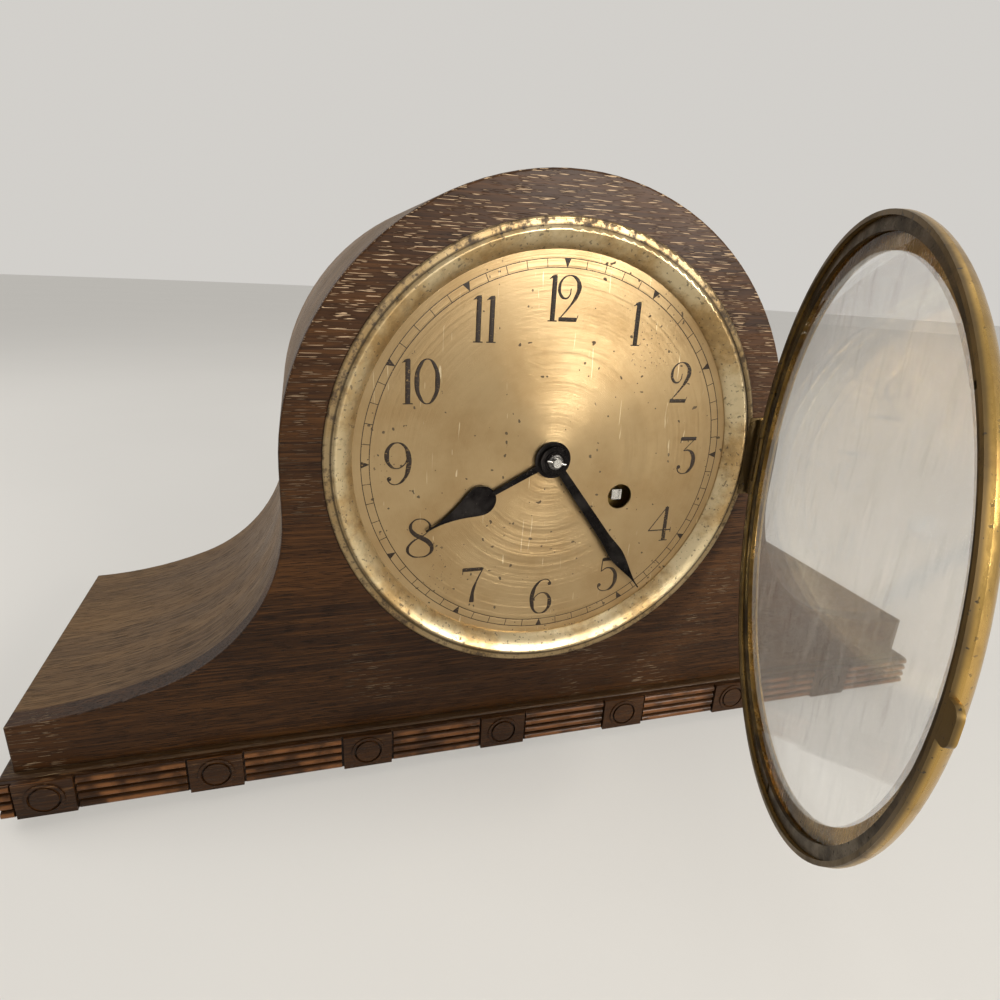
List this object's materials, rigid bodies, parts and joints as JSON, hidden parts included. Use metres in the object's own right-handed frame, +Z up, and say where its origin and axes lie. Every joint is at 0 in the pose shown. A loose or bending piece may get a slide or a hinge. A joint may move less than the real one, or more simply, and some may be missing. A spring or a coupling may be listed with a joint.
{
  "type": "mantel clock",
  "caption": "Arched mantel clock with sloping tails, open hinged glass, numbered metal dial, hands and a pendulum movement.",
  "frame": {"origin": "on the table surface, under the middle of the case", "axes": "+X towards the viewer's right, +Y from the dial towards the back, +Z up"},
  "size_m": [0.3846, 0.276, 0.2195],
  "materials": {
    "oak_front": "satin",
    "oak_skin": "satin",
    "oak_base": "satin",
    "oak_carved": "satin",
    "pine": "matt",
    "silvered_dial": "brushed",
    "bead_brass": "polished",
    "old_brass": "tarnished",
    "clock_brass": "lacquered",
    "hand_steel": "gloss black",
    "bright_steel": "polished",
    "dark_steel": "blued",
    "window_glass": "clear",
    "bottom_wood": "satin"
  },
  "bodies": {
    "case": {"front_panel": "oak_front", "back_panel": "pine", "top_skin": "oak_skin", "left_end": "oak_skin", "right_end": "oak_skin", "base_board": "oak_base", "front_moulding": "oak_carved", "glue_blocks": "pine", "bottom_board": "bottom_wood", "movement_straps": "dark_steel", "strap_screws": "bright_steel", "dial_ring": "bead_brass", "dial": "silvered_dial", "hinge_leaf": "old_brass", "hinge_pin": "bright_steel", "hinge_screws": "old_brass", "front_plate": "clock_brass", "back_plate": "clock_brass", "plate_pillars": "clock_brass", "pillar_nuts": "bright_steel", "movement_screws": "bright_steel", "back_cock": "clock_brass", "click_spring": "dark_steel", "back_door_hinges": "old_brass", "button_screw": "bright_steel"},
    "glazed_door": {"door_bezel": "old_brass", "door_glass": "window_glass", "door_retainer": "clock_brass", "door_leaf": "old_brass", "door_tab": "old_brass"},
    "rear_door": {"back_door": "pine", "back_door_leaves": "old_brass"},
    "rear_button": {"turn_button": "old_brass"},
    "minute_drive": {"centre_wheel": "clock_brass", "centre_arbor": "bright_steel", "cannon_pinion": "clock_brass", "minute_hand": "hand_steel", "hand_collet": "bright_steel", "hand_pin": "bright_steel"},
    "hour_drive": {"hour_wheel": "clock_brass", "hour_hand": "hand_steel"},
    "motion_wheel": {"minute_wheel": "clock_brass"},
    "intermediate": {"intermediate_wheel": "clock_brass", "intermediate_arbor": "bright_steel"},
    "barrel_drum": {"barrel": "clock_brass", "barrel_cover": "clock_brass", "mainspring": "dark_steel"},
    "third": {"third_wheel": "clock_brass", "third_arbor": "bright_steel"},
    "escape": {"escape_wheel": "clock_brass", "escape_arbor": "bright_steel"},
    "winding": {"winding_arbor": "bright_steel", "ratchet_wheel": "dark_steel"},
    "click_lever": {"click": "dark_steel"},
    "pallets": {"anchor": "dark_steel", "crutch": "bright_steel"},
    "pendulum": {"suspension_spring": "bright_steel", "pendulum_rod": "bright_steel", "pendulum_bob": "clock_brass"},
    "rating": {"rating_nut": "clock_brass"}
  },
  "joints": [
    {"name": "door_hinge", "type": "hinge", "parent": "case", "child": "glazed_door", "pos_m": [0.0846, -0.0616, 0.1232], "axis": [0, 0, 1], "range_deg": [-63.3, 52]},
    {"name": "rear_door_hinge", "type": "hinge", "parent": "case", "child": "rear_door", "pos_m": [-0.052, 0.0592, 0.1], "axis": [0, 0, 1], "range_deg": [0, 110]},
    {"name": "turn_button_pivot", "type": "hinge", "parent": "case", "child": "rear_button", "pos_m": [0.0575, 0.0593, 0.096], "axis": [0, 1, 0], "range_deg": [0, 90]},
    {"name": "minute_turn", "type": "hinge", "parent": "case", "child": "minute_drive", "pos_m": [0, -0.0316, 0.1232], "axis": [0, 1, 0], "continuous": true},
    {"name": "hour_turn", "type": "hinge", "parent": "case", "child": "hour_drive", "pos_m": [0, -0.0555, 0.1232], "axis": [0, 1, 0], "continuous": true},
    {"name": "motion_wheel_turn", "type": "hinge", "parent": "case", "child": "motion_wheel", "pos_m": [-0.01039, -0.0502, 0.1292], "axis": [0, 1, 0], "continuous": true},
    {"name": "intermediate_turn", "type": "hinge", "parent": "case", "child": "intermediate", "pos_m": [0.00217, -0.0316, 0.10075], "axis": [0, 1, 0], "continuous": true},
    {"name": "barrel_turn", "type": "hinge", "parent": "case", "child": "barrel_drum", "pos_m": [0.0296, -0.0316, 0.1073], "axis": [0, 1, 0], "continuous": true},
    {"name": "third_turn", "type": "hinge", "parent": "case", "child": "third", "pos_m": [-0.01404, -0.0316, 0.13811], "axis": [0, 1, 0], "continuous": true},
    {"name": "escape_turn", "type": "hinge", "parent": "case", "child": "escape", "pos_m": [0, -0.0316, 0.1477], "axis": [0, 1, 0], "continuous": true},
    {"name": "winding_turn", "type": "hinge", "parent": "case", "child": "winding", "pos_m": [0.0296, -0.0316, 0.1073], "axis": [0, 1, 0], "continuous": true},
    {"name": "click_pivot", "type": "hinge", "parent": "case", "child": "click_lever", "pos_m": [0.04213, -0.014, 0.11479], "axis": [0, 1, 0], "range_deg": [0, 8], "stiffness_Nm_per_rad": 0.003, "springref_deg": -5.73},
    {"name": "pendulum_swing", "type": "hinge", "parent": "case", "child": "pendulum", "pos_m": [0, -0.0056, 0.1632], "axis": [0, 1, 0], "range_deg": [-3.5, 3.5]},
    {"name": "pallet_rock", "type": "hinge", "parent": "case", "child": "pallets", "pos_m": [0, -0.0316, 0.1632], "axis": [0, 1, 0], "range_deg": [-3.5, 3.5]},
    {"name": "rating_nut_turn", "type": "hinge", "parent": "pendulum", "child": "rating", "pos_m": [0, -0.0056, 0.0462], "axis": [0, 0, 1], "continuous": true}
  ],
  "couplings": [
    {"joint": "hour_turn", "follows": "minute_turn", "ratio": 0.083333},
    {"joint": "motion_wheel_turn", "follows": "minute_turn", "ratio": -0.33333},
    {"joint": "intermediate_turn", "follows": "minute_turn", "ratio": -0.13889},
    {"joint": "barrel_turn", "follows": "minute_turn", "ratio": 0.016534},
    {"joint": "third_turn", "follows": "minute_turn", "ratio": -12},
    {"joint": "escape_turn", "follows": "minute_turn", "ratio": 133.71},
    {"joint": "pallet_rock", "follows": "pendulum_swing", "ratio": 1}
  ]
}
